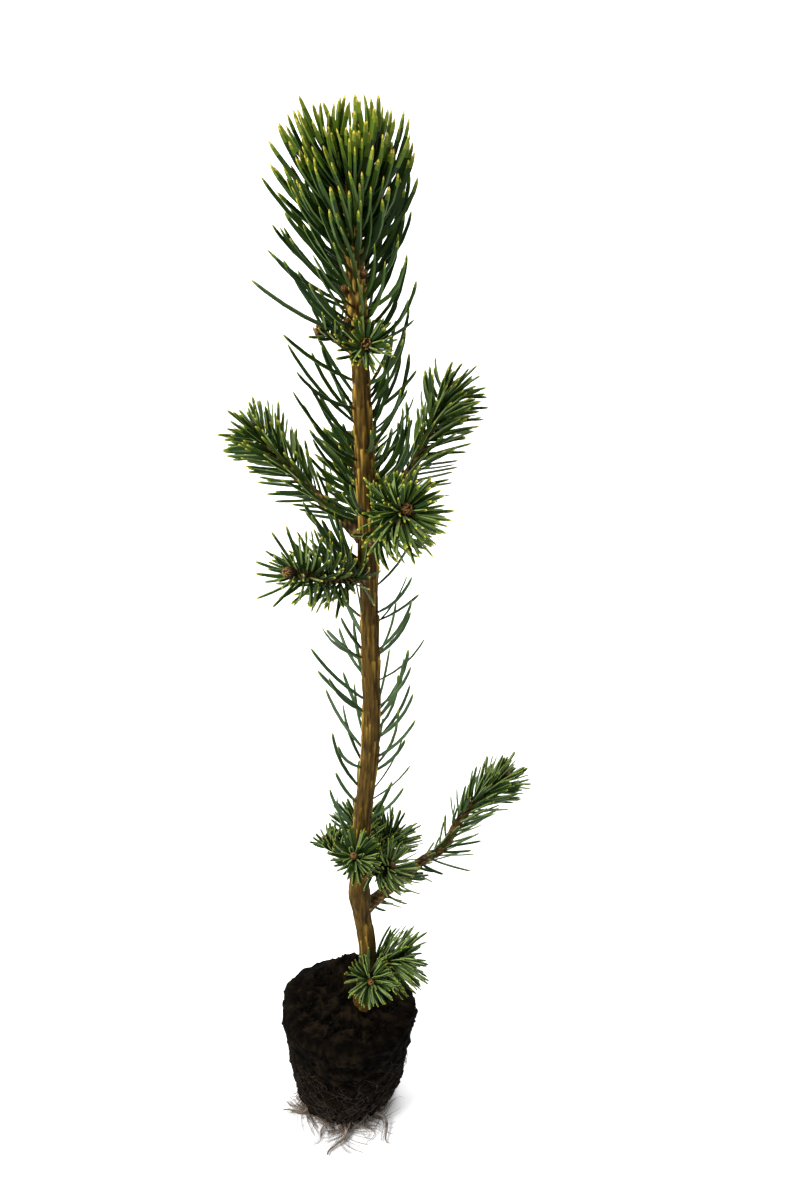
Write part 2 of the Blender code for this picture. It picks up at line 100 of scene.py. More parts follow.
# %% Floor, sky and lamps
floor_mesh = bmesh.new()
bmesh.ops.create_grid(floor_mesh, x_segments=1, y_segments=1, size=4)
floor_data = bpy.data.meshes.new("floor")
floor_mesh.to_mesh(floor_data)
floor_mesh.free()
floor = bpy.data.objects.new("floor", floor_data)
bpy.context.scene.collection.objects.link(floor)
white = bpy.data.materials.new("white floor")
white.use_nodes = True
white_shader = white.node_tree.nodes["Principled BSDF"]
white_shader.inputs["Base Color"].default_value = (0.96, 0.96, 0.96, 1)
white_shader.inputs["Roughness"].default_value = 1
white_shader.inputs["Specular IOR Level"].default_value = 0
floor_data.materials.append(white)
floor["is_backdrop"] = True

world = bpy.data.worlds.new("white surround")
world.use_nodes = True
world.node_tree.nodes["Background"].inputs["Color"].default_value = (1, 1, 1, 1)
world.node_tree.nodes["Background"].inputs["Strength"].default_value = 0.42
bpy.context.scene.world = world


def soft_lamp(name, place, aim, size, power):
    data = bpy.data.lights.new(name, "AREA")
    data.size = size
    data.energy = power
    lamp = bpy.data.objects.new(name, data)
    lamp.location = place
    lamp.rotation_euler = (Vector(aim) - Vector(place)).to_track_quat("-Z", "Y").to_euler()
    bpy.context.scene.collection.objects.link(lamp)


soft_lamp("key lamp", (-0.85, -0.48, 0.95), (0, 0, 0.18), 0.6, 26)
soft_lamp("top lamp", (0.2, 0.5, 1.2), (0, 0, 0.2), 0.9, 7)
soft_lamp("backdrop lamp", (0, 1.9, 1.3), (0, 1.6, 0), 2.2, 60)
print("floor, sky and three lamps made")

# %% [markdown]
# Finishes. Bark, peat and roots read Object coordinates through noise, so their grain has a real scale.
# Bark and peat also read how far the surface stands out, which each mesh keeps as an attribute: the
# grooves and hollows are painted dark as painted shade, and the ridges take the lighter colour.

# %% Finishes of bark, peat and roots


def finish(name, roughness, specular):
    material = bpy.data.materials.new(name)
    material.use_nodes = True
    shader = material.node_tree.nodes["Principled BSDF"]
    shader.inputs["Roughness"].default_value = roughness
    shader.inputs["Specular IOR Level"].default_value = specular
    return material, shader


def ramp_node(nodes, colours, low, high):
    ramp = nodes.new("ShaderNodeValToRGB")
    first, last = ramp.color_ramp.elements
    first.position = low
    last.position = high
    first.color = (*colours[0], 1)
    last.color = (*colours[-1], 1)
    for index, colour in enumerate(colours[1:-1]):
        middle = ramp.color_ramp.elements.new(low + (high - low) * (index + 1) / (len(colours) - 1))
        middle.color = (*colour, 1)
    return ramp


def grain_node(material, scales, detail):
    """Noise with its own scale along each axis, in cycles to the metre."""
    nodes = material.node_tree.nodes
    links = material.node_tree.links
    place = nodes.new("ShaderNodeTexCoord")
    mapping = nodes.new("ShaderNodeMapping")
    mapping.inputs["Scale"].default_value = scales
    grain = nodes.new("ShaderNodeTexNoise")
    grain.inputs["Scale"].default_value = 1
    grain.inputs["Detail"].default_value = detail
    grain.inputs["Roughness"].default_value = 0.62
    links.new(place.outputs["Object"], mapping.inputs["Vector"])
    links.new(mapping.outputs["Vector"], grain.inputs["Vector"])
    return grain


def add_relief(material, shader, grain, depth):
    relief = material.node_tree.nodes.new("ShaderNodeBump")
    relief.inputs["Distance"].default_value = depth
    relief.inputs["Strength"].default_value = 0.7
    material.node_tree.links.new(grain.outputs["Fac"], relief.inputs["Height"])
    material.node_tree.links.new(relief.outputs["Normal"], shader.inputs["Normal"])


def grained_finish(name, colours, scales, roughness, depth, detail=6):
    """Noise through a ramp of colours, with the same noise as fine relief."""
    material, shader = finish(name, roughness, 0.2)
    grain = grain_node(material, scales, detail)
    ramp = ramp_node(material.node_tree.nodes, colours, 0.33, 0.68)
    material.node_tree.links.new(grain.outputs["Fac"], ramp.inputs["Fac"])
    material.node_tree.links.new(ramp.outputs["Color"], shader.inputs["Base Color"])
    add_relief(material, shader, grain, depth)
    return material


def ridged_finish(name, colours, scales, roughness, depth, weight, detail=6, specular=0.15):
    """A ramp of colours over the mesh's own ridges, roughened by noise of the given weight."""
    material, shader = finish(name, roughness, specular)
    nodes = material.node_tree.nodes
    links = material.node_tree.links
    grain = grain_node(material, scales, detail)
    ridge = nodes.new("ShaderNodeAttribute")
    ridge.attribute_name = "ridge"
    blend = nodes.new("ShaderNodeMix")
    blend.inputs["Factor"].default_value = weight
    links.new(ridge.outputs["Fac"], blend.inputs["A"])
    links.new(grain.outputs["Fac"], blend.inputs["B"])
    ramp = ramp_node(nodes, colours, 0.2, 0.72)
    links.new(blend.outputs["Result"], ramp.inputs["Fac"])
    links.new(ramp.outputs["Color"], shader.inputs["Base Color"])
    add_relief(material, shader, grain, depth)
    return material


STEM_BARK = ridged_finish(
    "golden brown bark",
    ((0.018, 0.0095, 0.002), (0.088, 0.051, 0.008), (0.215, 0.13, 0.021), (0.37, 0.235, 0.048)),
    (1500, 1500, 200),
    0.75,
    0.2 * MM,
    0.55,
    6,
    0.06,
)
TWIG_BARK = ridged_finish(
    "twig bark",
    ((0.012, 0.006, 0.002), (0.05, 0.027, 0.007), (0.135, 0.08, 0.02), (0.27, 0.175, 0.055)),
    (1300, 1300, 900),
    0.7,
    0.15 * MM,
    0.55,
)
BUD_SCALE = ridged_finish(
    "bud scales",
    ((0.005, 0.002, 0.001), (0.02, 0.008, 0.002), (0.065, 0.03, 0.007), (0.2, 0.105, 0.028)),
    (1700, 1700, 1200),
    0.5,
    0.06 * MM,
    0.3,
)
PEAT = ridged_finish(
    "dark peat",
    ((0.0005, 0.0004, 0.0003), (0.0014, 0.001, 0.0007), (0.0034, 0.0023, 0.0013), (0.0095, 0.0062, 0.0034)),
    (330, 330, 330),
    0.95,
    0.9 * MM,
    0.6,
    9,
    0.02,
)
ROOT = grained_finish(
    "pale root",
    ((0.07, 0.05, 0.035), (0.16, 0.125, 0.095), (0.3, 0.25, 0.2)),
    (400, 400, 400),
    0.8,
    0.05 * MM,
)
SIDE_ROOT = grained_finish(
    "brown root",
    ((0.008, 0.005, 0.003), (0.022, 0.014, 0.009), (0.06, 0.04, 0.026)),
    (300, 300, 300),
    0.9,
    0.05 * MM,
)
print(len(bpy.data.materials), "finishes made")

# %% [markdown]
# A needle is green along its length and yellow at its tip, and two of its four sides carry pale lines.
# Those colours have a place, so they are separate finishes dealt out over the needle. The long needles
# on the stem are darker than those of the sprays: partly painted shade, as the stem's needles are seen
# from their shaded side and the sprays face the light, and partly the sprays' younger, lighter green.
# Each kind has three greens, dealt out from needle to needle, with a paler one for the lined sides.
# The greens vary a little over a few millimetres.

# %% Finishes of needles


def needle_green(name, dark, light):
    material, shader = finish(name, 0.45, 0.07)
    grain = grain_node(material, (220, 220, 120), 3)
    ramp = ramp_node(material.node_tree.nodes, (dark, light), 0.35, 0.65)
    material.node_tree.links.new(grain.outputs["Fac"], ramp.inputs["Fac"])
    material.node_tree.links.new(ramp.outputs["Color"], shader.inputs["Base Color"])
    return material


def plain_finish(name, colour, roughness):
    material, shader = finish(name, roughness, 0.08)
    shader.inputs["Base Color"].default_value = (*colour, 1)
    return material


NEEDLE_FINISHES = (
    needle_green("deep green needle", (0.008, 0.021, 0.002), (0.015, 0.034, 0.003)),
    needle_green("dark green needle", (0.014, 0.032, 0.003), (0.025, 0.05, 0.005)),
    needle_green("cool deep green needle", (0.008, 0.024, 0.005), (0.015, 0.037, 0.008)),
    needle_green("bright green needle", (0.014, 0.031, 0.003), (0.027, 0.052, 0.006)),
    needle_green("light green needle", (0.026, 0.05, 0.004), (0.046, 0.08, 0.008)),
    needle_green("cool bright green needle", (0.013, 0.032, 0.007), (0.024, 0.05, 0.012)),
    needle_green("pale lines on a stem needle", (0.036, 0.068, 0.015), (0.062, 0.105, 0.026)),
    needle_green("pale lines on a spray needle", (0.13, 0.185, 0.05), (0.2, 0.27, 0.085)),
    plain_finish("light green needle end", (0.075, 0.125, 0.01), 0.45),
    plain_finish("yellow green needle end", (0.17, 0.2, 0.02), 0.45),
    plain_finish("yellow needle tip", (0.5, 0.4, 0.055), 0.5),
    plain_finish("brown needle peg", (0.075, 0.036, 0.012), 0.6),
    needle_green("grey green needle", (0.024, 0.052, 0.017), (0.042, 0.08, 0.03)),
    needle_green("light grey green needle", (0.04, 0.075, 0.03), (0.062, 0.108, 0.048)),
)
# The stem's greens and pale lines are darker than the sprays': partly painted shade, partly the sprays'
# younger, lighter green.
STEM_GREENS = (0, 0, 1, 1, 2)
OLD_GREENS = (12, 12, 13)
SPRAY_GREENS = (3, 3, 4, 5, 5)
LOW_GREENS = (5, 5, 12, 3)
# Darker greens for the needles behind a star: painted shade between the star's needles.
BACK_GREENS = (0, 1, 1, 3)
# The darker green painted on each spray needle's first third, near the twig: painted shade.
PAINTED_SHADE_KIND = 1
STEM_PALE = 6
SPRAY_PALE = 7
CROWN_ENDS = ((0.74, 8), (0.88, 9), (0.94, 10))
LONG_ENDS = ((0.85, 8), (0.92, 9), (0.96, 10))
SHORT_ENDS = ((0.92, 8), (0.96, 9), (0.985, 10))
PEG_KIND = 11
print(len(NEEDLE_FINISHES), "needle finishes made")

# %% [markdown]
# The plan of the plant repeats the model's: the line of the stem, and each branch's height, bearing,
# rise, length, bare share, radii and needles. The script grows the fine parts on these same lines.
# Where the real plant is seen close, single needles are placed by the tips they show.

# %% Plan of the plant
STEM_LINE = (
    (0, 5.8), (23, 7), (46, 4.9), (75, 6.1), (98, 8.4), (150, 8.8), (207, 7.8), (240, 6.6), (270, 5.2),
)
STEM_RADII = (
    (0, 2.75), (20, 2.65), (46, 2.55), (75, 2.5), (150, 2.35), (200, 2.2), (233, 2.05), (256, 1.75),
    (264, 1.5),
)
STRAIGHT = ()
UPTURNED = ((0.5, -1.2),)
ARCHED = ((0.5, 2.6),)
ELBOW = ((0.2, -1.6), (0.42, -3), (0.56, -5.2), (0.66, -0.9))
# name, height, bearing, rise, length, bare share, bough radius, bud radius, needles, needle length, line
BRANCHES = (
    ("upper_front", 165, -69, 46, 40, 0.3, 1.2, 1.6, 118, 12.6, ARCHED),
    ("upper_left_front", 157, -134, 29, 32, 0.25, 1.2, 1.5, 132, 13, UPTURNED),
    ("upper_left_back", 168, 151, 35, 42, 0.22, 1.6, 1.6, 142, 12.5, UPTURNED),
    ("upper_back", 171, 103, 35, 27.5, 0.28, 1.1, 1.4, 120, 12.5, UPTURNED),
    ("upper_right_back", 166, 54, 40, 48, 0.27, 1.5, 1.6, 156, 13, UPTURNED),
    ("lower_right", 39.5, 28, 34, 59, 0.6, 1.7, 1.5, 166, 11.5, ELBOW),
    ("lower_left", 54, 148, 36, 15, 0.44, 1.0, 1.2, 60, 7.2, STRAIGHT),
    ("lower_front", 57, -96, 54, 18, 0.46, 1.0, 1.2, 94, 9.5, STRAIGHT),
    ("lower_right_back", 51, 48, 30, 19.5, 0.34, 1.0, 1.2, 94, 11.5, STRAIGHT),
    ("lower_right_front", 52, -30, 44, 16.5, 0.48, 0.9, 1.1, 80, 10.5, STRAIGHT),
    ("lower_back", 55, 92, 38, 18, 0.38, 0.9, 1.1, 74, 10, STRAIGHT),
    ("basal_right", 15, 0, 22, 14, 0.42, 0.9, 1.1, 130, 12.5, STRAIGHT),
    ("basal_front", 13.5, -82, 33, 13, 0.46, 0.9, 1.1, 84, 9.5, STRAIGHT),
    ("leader_front", 218, -78, 45, 12, 0.4, 0.9, 1.4, 36, 8.5, STRAIGHT),
    ("leader_left", 219, 176, 34, 12, 0.4, 0.9, 1.2, 30, 8.5, STRAIGHT),
)
# name, from, to, needles, their length and width, lean at the foot and at the top, share the topmost
# are shorter, tilt to the right, unevenness, greens, and how far their yellow ends reach
STRETCHES = (
    ("stem_needles_lower", 60, 103, 15, 17.5, 1.16, (52, 47), 0, 0.1, 0.26, OLD_GREENS, SHORT_ENDS),
    ("stem_needles_upper", 104, 164, 26, 18.5, 1.16, (54, 48), 0, 0, 0.28, OLD_GREENS, SHORT_ENDS),
    ("leader_needles_lower", 170, 215, 42, 20, 1.08, (53, 46), 0, -0.1, 0.26, STEM_GREENS, SHORT_ENDS),
    ("leader_needles_middle", 221, 243, 56, 23, 1.12, (51, 44), 0, -0.13, 0.24, STEM_GREENS, SHORT_ENDS),
    ("leader_needles_top", 243, 264, 140, 23, 1.26, (49, 37), 0.24, -0.08, 0.18, STEM_GREENS, LONG_ENDS),
)
# The needles that make the stem's outline as the plant is usually seen: height of the foot, and how
# far right of the ball's middle and how high above the soil the tip is
OUTLINE_NEEDLES = (
    (82.4, -0.9, 91.6), (82.4, 19.4, 94.1), (94.1, 18, 104), (96.3, 16.2, 115.1), (97, 1.5, 115.8),
    (101.2, -2.9, 121.2), (105.8, 20.1, 120.5), (109.3, 16.2, 125.9), (113, 17.7, 131.1),
    (113.7, -4.8, 127.2), (114.5, 18.8, 134.4), (119, -6.4, 134.4), (130.5, -2.1, 141.4),
    (133.7, 19.3, 145.6), (134.4, 1.6, 144.6), (143.4, 21.3, 151.5), (157.6, -3.6, 171.1),
    (158.2, -0.4, 171.4), (160.1, -2.5, 174.3), (160.1, 0.7, 176.6), (160.5, -4.9, 176),
    (160.7, -1.4, 178.3), (160.7, 1.9, 174.3), (162, -7, 179.2), (162.5, -6.4, 176.6),
    (181.8, 17.4, 200.1), (182.9, 18.8, 202.8), (184.6, 18.1, 207), (185.2, 16.2, 201.2),
    (185.7, -4.7, 199.8), (186.3, 17.2, 204.9), (189.1, -8.3, 209.7), (190.8, 19.5, 202),
    (191.9, -3.2, 209.7), (195, 18.8, 219.5), (199, 18.3, 210.2), (200.9, 13.9, 216.4), (202, -9.1, 221.8),
    (202.8, 13, 218), (204.1, 20.4, 215.7), (206.2, -1.3, 221.3), (206.5, 13.9, 221.5),
    (208.1, 14.9, 223.6), (209.7, 18.7, 231), (213.1, -9.9, 224.6), (221.8, 18.2, 244.1),
    (222.3, -7.1, 238.8), (222.5, 19.7, 228), (223.1, 16, 232.5), (224.3, -16.5, 238.1),
    (225.6, -3.4, 233.5), (232, -12.6, 245.3), (233, 17.6, 253.4), (234, -7.4, 247.9), (236, 18.8, 262.3),
    (236.7, -5.9, 251.3), (239.1, -8.5, 253.2), (239.1, 17.6, 258.9), (242.2, -3.9, 261.1),
    (242.4, -13.1, 261.8), (242.7, 18.4, 265.2), (245.5, -10.2, 264.1), (245.5, -9.8, 258.4),
    (247.4, -4.7, 267.8), (250.4, -11.2, 270), (250.4, -9.2, 272.6), (250.4, 18.6, 269.3),
    (252, 18.6, 274.5), (253.2, 14.3, 266.9), (253.9, -7, 275.6), (253.9, 17.5, 276), (255.5, -5.7, 276.5),
    (256.6, -4.1, 278.4), (256.6, 1.7, 276), (256.6, 14.8, 276.5), (257.5, 6.6, 276), (257.8, 2.8, 277.8),
    (258.4, -0.1, 278.2), (258.4, 6, 278), (258.9, 4.1, 279), (258.9, 5.1, 279.2), (258.9, 7.6, 278.6),
    (258.9, 10.6, 279), (258.9, 12.1, 279.2), (259.3, 9.1, 280.3),
)
CROWN_HEIGHT = 255


def curve_through(knots, places):
    """Values at several places on the smooth curve through the knots."""
    at = np.array([knot[0] for knot in knots], float)
    values = np.array([knot[1] for knot in knots], float)
    slopes = np.gradient(values, at)
    places = np.clip(np.asarray(places, float), at[0], at[-1])
    index = np.clip(np.searchsorted(at, places) - 1, 0, len(at) - 2)
    width = at[index + 1] - at[index]
    share = (places - at[index]) / width
    rest = 1 - share
    start = (1 + 2 * share) * values[index] + share * width * slopes[index]
    end = (3 - 2 * share) * values[index + 1] - rest * width * slopes[index + 1]
    return rest * rest * start + share * share * end


def stem_points(heights):
    """Points on the stem's line at heights above the soil, in millimetres in and metres out."""
    heights = np.asarray(heights, float)
    across = curve_through(STEM_LINE, heights)
    return np.stack([across * MM, np.zeros_like(heights), SOIL + heights * MM], axis=-1)


def stem_radii(heights):
    heights = np.asarray(heights, float)
    radii = np.interp(heights, *zip(*STEM_RADII))
    for whorl, swell in ((46, 0.75), (163, 0.4)):
        radii = radii + swell * np.exp(-(((heights - whorl) / 5) ** 2))
    return (radii + 1.5 * np.exp(-heights / 3.5)) * MM


def level_way(bearing):
    return np.array([math.cos(bearing), math.sin(bearing), 0.0])


def branch_points(branch, shares):
    """Points along a branch from the stem's middle, at shares of its length."""
    name, height, bearing, rise, length, *_, line = branch
    shares = np.asarray(shares, float)
    way = level_way(math.radians(bearing)) * math.cos(math.radians(rise))
    way[2] = math.sin(math.radians(rise))
    lift = curve_through(((0, 0), *line, (1, 0)), shares) if line else 0 * shares
    points = stem_points(height) + np.outer(shares, way) * length * MM
    points[:, 2] += lift * MM
    return points


def unit(vector):
    return vector / np.linalg.norm(vector)


print(len(BRANCHES), "branches and", len(STRETCHES), "stretches of stem needles planned")

# %% [markdown]
# Round limbs of every size start the same way, as a cone primitive of one unit whose sides are cut into
# rings. Each point is then moved to its place on the limb's own line, out by the limb's radius there.
# How far the relief stands out is kept in the attribute that the bark's finish reads.

# %% Helper for limbs


def frames_along(points, reference):
    """The way of a path at each point, and two ways square to it."""
    ways = np.gradient(points, axis=0)
    ways /= np.linalg.norm(ways, axis=1)[:, None]
    sides = np.cross(ways, reference)
    sides /= np.linalg.norm(sides, axis=1)[:, None]
    return ways, sides, np.cross(sides, ways)


def add_piece(name, data, materials, replaced):
    for material in materials:
        data.materials.append(material)
    piece = bpy.data.objects.new(name, data)
    bpy.context.scene.collection.objects.link(piece)
    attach(piece, "root")
    if replaced:
        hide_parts(*replaced)
    return piece


def limb_mesh(path, radius, reference, sides, rings, relief=None, full_relief=0.3 * MM, darkening=None):
    """A closed limb: path and radius give points and sizes, and darkening how much darker its colour is, at
    shares from 0 to 1.
    """
    mesh = bmesh.new()
    bmesh.ops.create_cone(mesh, cap_ends=True, segments=sides, radius1=1, radius2=1, depth=1)
    upright = [edge for edge in mesh.edges if abs(edge.verts[0].co.z - edge.verts[1].co.z) > 0.5]
    bmesh.ops.subdivide_edges(mesh, edges=upright, cuts=rings - 1)
    start = np.array([vert.co[:] for vert in mesh.verts])
    shares = start[:, 2] + 0.5
    turns = np.arctan2(start[:, 1], start[:, 0])
    grid = np.linspace(0, 1, rings + 1)
    index = np.rint(shares * rings).astype(int)
    points = path(grid)
    _, side, other = frames_along(points, reference)
    size = radius(grid)[index]
    out = relief(shares, turns, size) if relief else 0 * size
    round_ways = side[index] * np.cos(turns)[:, None] + other[index] * np.sin(turns)[:, None]
    places = points[index] + round_ways * (size + out)[:, None]
    ridge = mesh.verts.layers.float.new("ridge")
    dark = darkening(shares) if darkening else 0
    # A low ridge value in the grooves gives a dark colour from the ramp: painted shade in the grooves.
    for vert, place, height in zip(mesh.verts, places, np.clip(out / full_relief + 0.3 - dark, 0, 1)):
        vert.co = place
        vert[ridge] = height
    bmesh.ops.recalc_face_normals(mesh, faces=mesh.faces[:])
    return mesh


def to_data(name, meshes):
    """One mesh from several, with smooth faces."""
    joined = bmesh.new()
    scratch = bpy.data.meshes.new("scratch")
    for mesh in meshes:
        mesh.to_mesh(scratch)
        mesh.free()
        joined.from_mesh(scratch)
    bpy.data.meshes.remove(scratch)
    for face in joined.faces:
        face.smooth = True
    data = bpy.data.meshes.new(name)
    joined.to_mesh(data)
    joined.free()
    return data


print("limb helper ready")

# %% [markdown]
# Where needles sit. On the stem they follow the golden angle up each stretch, a little unevenly, and
# the last few stand nearly upright round the end bud. Lower down, more and more of those on the stem's
# front have dropped. Each sits on a raised cushion of bark, so their roots come before the bark's shape.

# %% Roots of the stem's needles
END_NEEDLES = 22
FRONT_DROPPED = ((160, 1), (195, 0.6), (215, 0.3), (240, 0.15), (245, 0))
stem_roots = []


def meets_branch(height, turn):
    """Whether a needle's root would sit on a branch's foot or just below one."""
    for _, foot, bearing, *_ in BRANCHES:
        beside = (turn - math.radians(bearing) + math.pi) % (2 * math.pi) - math.pi
        if -6 < foot - height < 14 and abs(beside) < 0.55:
            return True
    return False


for name, low, high, count, length, _, leans, shorter, _, uneven, _, _ in STRETCHES:
    for index in range(count):
        share = (index + rng.uniform(0.2, 0.8)) / count
        height = low + (high - low) * share
        turn = GOLDEN_ANGLE * index + rng.uniform(-0.28, 0.28)
        faces_front = -math.sin(turn) > 0.75
        if faces_front and rng.random() < np.interp(height, *zip(*FRONT_DROPPED)):
            continue
        if meets_branch(height, turn):
            continue
        lean = math.radians(leans[0] + (leans[1] - leans[0]) * share) + rng.uniform(-uneven, uneven)
        size = length * (1 - shorter * share * share) * rng.uniform(0.82, 1.12)
        if height > 250:
            size *= 1 - 0.14 * max(0, math.sin(turn))
        stem_roots.append((name, height, turn, lean, size))
for index in range(END_NEEDLES):
    height = 264 - 6 * (index + 0.5) / END_NEEDLES
    lean = math.radians(rng.uniform(5, 26))
    turn = GOLDEN_ANGLE * index
    size = rng.uniform(10.5, 13) * (1 - 0.18 * max(0, math.sin(turn)))
    stem_roots.append((STRETCHES[-1][0], height, turn, lean, size))
scars = []
for index in range(300):
    scars.append((rng.uniform(4, 264), rng.uniform(-math.pi, math.pi), rng.uniform(0.06, 0.24)))


def outline_turn(height, x):
    """Where round the stem a needle of the outline sits, a little to the side that its tip is on."""
    return math.copysign(0.25, math.sin(height * 9)) + (0 if x > 6.5 else math.pi)


print(len(stem_roots) + len(OUTLINE_NEEDLES), "needles round the stem")

# %% [markdown]
# The stem's bark. On young spruce wood every needle stands on a small peg, and a ridge runs down from
# it, so the bark looks grooved and rough. The ridges are real relief in the mesh: each point is pushed
# out by the nearest cushions above it. Lower down the pegs are worn to faint scars.

# %% Stem
CUSHION_LENGTHS = ((150, 225, 245), (9, 5, 3))  # heights on the stem, and the cushions' lengths there
CUSHION_WIDTH = 0.38
STEM_TOP = 264


def bark_relief(shares, turns, sizes):
    """How far the bark stands out: a ridge that fades downwards from every needle's peg."""
    heights = shares * STEM_TOP
    out = np.zeros_like(heights)
    pegs = [(height, turn) for _, height, turn, _, _ in stem_roots]
    pegs += [(height, outline_turn(height, x)) for height, x, _ in OUTLINE_NEEDLES]
    pegs = [(height, turn, np.interp(height, (200, 235), (0.45, 0.62))) for height, turn in pegs]
    for height, turn, tall in pegs + scars:
        reach = np.interp(height, *CUSHION_LENGTHS)
        near = np.abs(heights - height + reach / 2) < reach
        below = height - heights[near]
        along = np.where(below > 0, np.clip(1 - below / reach, 0, 1), np.exp(-((below / 0.4) ** 2)))
        beside = (turns[near] - turn + math.pi) % (2 * math.pi) - math.pi
        across = np.exp(-((beside * sizes[near] / MM / CUSHION_WIDTH) ** 2))
        out[near] = np.maximum(out[near], tall * along * across)
    grooves = 0.05 * np.sin(turns * 9 + heights / 7) + 0.05 * np.sin(turns * 14 - heights / 5)
    return (out + grooves - 0.12) * MM


def darker_low_bark(shares):
    """How much darker the bark is: the stem below the upper whorl is older, and the bark is darker towards
    its foot.
    """
    heights = shares * STEM_TOP
    return 0.05 * np.clip((175 - heights) / 30, 0, 1) + 0.4 * np.exp(-heights / 7)


stem = limb_mesh(
    lambda shares: stem_points(shares * STEM_TOP),
    lambda shares: stem_radii(shares * STEM_TOP),
    (0, 1, 0),
    56,
    900,
    bark_relief,
    darkening=darker_low_bark,
)
add_piece("stem_bark", to_data("stem_bark", [stem]), [STEM_BARK], ["trunk"])
print("stem made,", round(float(stem_radii(0)) / MM * 2, 1), "mm thick at the soil")

# %% [markdown]
# Boughs and twigs. A branch is one tapering limb from inside the stem's bark to its bud, with the same
# pegs in small. The bare part and the part among the needles are joined in one mesh, as on the plant.

# %% Branches
branch_meshes = []
for branch in BRANCHES:
    name, height, bearing, rise, length, bare, radius, bud, count, needle, line = branch
    start = 0.6 * stem_radii(height) / MM / (length * math.cos(math.radians(rise)))
    end = 1 - 1.6 * bud / length

    def path(shares, branch=branch, start=start, end=end):
        return branch_points(branch, start + (end - start) * shares)

    def size(shares, radius=radius):
        return (radius * (1 - 0.42 * shares) + 0.4 * radius * np.exp(-shares * 14)) * MM

    def relief(shares, turns, sizes, length=length):
        along = shares * length
        pegs = np.sin(turns * 3 + along * 1.1) * np.sin(along * 2.3 + turns * 2)
        fine = np.sin(turns * 8 + along * 0.7) + 0.6 * np.sin(turns * 5 - along * 1.9)
        return (0.1 * pegs + 0.05 * fine) * MM

    rings = max(24, int(length * 3))
    branch_meshes.append(limb_mesh(path, size, (0, 0, 1), 22, rings, relief, 0.25 * MM))
boughs = [branch[0] + "_bough" for branch in BRANCHES]
add_piece("branches", to_data("branches", branch_meshes), [TWIG_BARK], boughs)
print(len(BRANCHES), "branches made")

# %% [markdown]
# Buds. Each branch and the leader end in a brown bud wrapped in overlapping scales. A bud is an egg
# drawn from a sphere primitive, and its scales are small flattened spheres laid over it in a spiral
# from its foot to its tip, dark with a tan rim. The more open a bud is, the more its scales stand away.

# %% Buds
def bud_meshes(place, way, radius, stretch, opening, scales=52):
    turned = Vector(way).to_track_quat("Z", "X").to_matrix().to_4x4()
    at_place = Matrix.Translation(Vector(place)) @ turned @ Matrix.Scale(radius, 4)
    egg = bmesh.new()
    shape = Matrix.Diagonal((0.9, 0.9, stretch, 1))
    bmesh.ops.create_uvsphere(egg, u_segments=20, v_segments=12, radius=1, matrix=at_place @ shape)
    egg.verts.layers.float.new("ridge")
    meshes = [egg]
    for index in range(scales):
        share = (index + 0.5) / scales
        rise = -0.75 + 1.65 * share
        out = 0.92 * math.sqrt(max(1 - rise * rise, 0.02))
        tilt = math.atan2(rise * stretch, out) * 0.75 - opening
        scale = bmesh.new()
        wide = math.sqrt(34 / scales)
        flat = Matrix.Diagonal((0.17, (0.4 - 0.14 * share) * wide, (0.66 - 0.14 * share) * wide, 1))
        lie = Matrix.Rotation(-tilt, 4, "Y")
        push = Matrix.Translation((out, 0, rise * stretch))
        turn = Matrix.Rotation(GOLDEN_ANGLE * index, 4, "Z")
        bmesh.ops.create_uvsphere(scale, u_segments=10, v_segments=8, radius=1)
        rim = scale.verts.layers.float.new("ridge")
        for vert in scale.verts:
            edge = 1.4 * math.hypot(vert.co.y, max(vert.co.z, 0)) - 0.55
            vert[rim] = min(max(edge, 0) * (0.2 + share) + 0.9 * max(share - 0.55, 0), 1)
        scale.transform(at_place @ turn @ push @ lie @ flat)
        meshes.append(scale)
    return meshes


buds = []
for branch in BRANCHES:
    length, bud = branch[4], branch[7]
    near, far = branch_points(branch, [1 - 3 * bud / length, 1])
    way = unit(far - near)
    opening, scales = (0.6, 26) if branch[0].startswith("leader") else (0.1, 52)
    buds += bud_meshes(far - way * 1.3 * bud * MM, way, bud * 0.98 * MM, 1.4, opening, scales)
buds += bud_meshes(stem_points(266.5), (-0.05, 0, 1), 1.6 * MM, 1.8, 0.1)
for height, bearing in ((240, -38), (236, 205), (228, -150)):
    side = level_way(math.radians(bearing))
    place = stem_points(height) + side * (stem_radii(height) + 0.5 * MM)
    buds += bud_meshes(place, unit(side * 0.7 + UP), 0.85 * MM, 1.5, 0.35)
beside = branch_points(BRANCHES[0], [0.87])[0] + np.array([-0.7, -1.6, -1.9]) * MM
buds += bud_meshes(beside, unit(np.array([0, -0.6, -0.3])), 0.85 * MM, 1.5, 0.1)
add_piece("buds", to_data("buds", buds), [BUD_SCALE], [])
print("buds made")

# %% [markdown]
# Needles. A spruce needle is four-sided, keeps its width and then draws in to a point. Its edges catch
# the light, so its faces stay flat. All the needles of a group are worked out together as arrays,
# because there are many hundreds, and each is bent on its own line. Two opposite sides are narrower and
# paler, its first third is painted darker as painted shade, its foot is a brown peg, and its end turns
# from green to yellow in three steps.

# %% Helper for needles
NEEDLE_SIDES = 4
STATIONS = np.array([0.0, 0.06, 0.25, 0.45, 0.65, 0.85, 0.92, 0.96, 0.985, 1.0])
WIDTHS = np.array([0.6, 0.78, 0.98, 1.0, 0.98, 0.88, 0.76, 0.56, 0.32, 0.05])
CORNERS = np.radians((0, 54, 180, 234))
THICKNESS = 0.82


